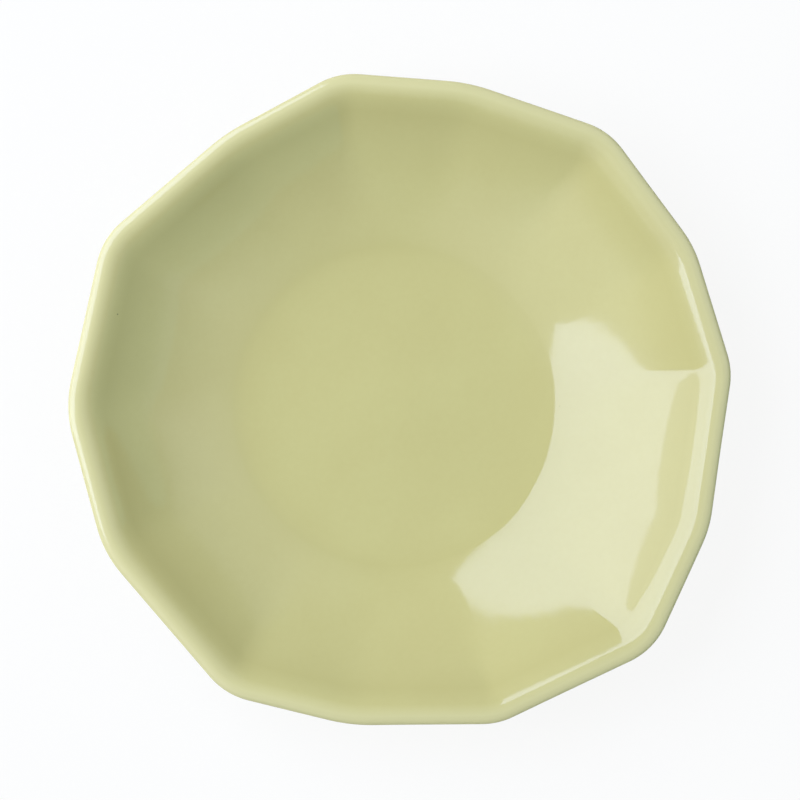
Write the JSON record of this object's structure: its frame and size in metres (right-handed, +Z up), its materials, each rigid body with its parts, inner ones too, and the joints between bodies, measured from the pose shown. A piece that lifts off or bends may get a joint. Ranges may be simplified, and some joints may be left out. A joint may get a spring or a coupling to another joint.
{
  "type": "side plate",
  "caption": "Small plate of glazed stoneware with an irregular many-sided rim, a round, gently dished well, a softly faceted wall, a rolled lip and a bare foot ring to stand on.",
  "frame": {"origin": "on the table plane under the middle of the rim's outline", "axes": "+Z up out of the well, +X to the right and +Y away from the viewer as the plate is seen from above"},
  "size_m": [0.18, 0.177, 0.028],
  "materials": {
    "clay": "bare fired buff stoneware, matt",
    "glaze": "glossy pale yellow-green glaze"
  },
  "bodies": {
    "root": {"stoneware_body": "clay", "glaze_coat": "glaze", "recess_glaze": "glaze"}
  },
  "joints": []
}
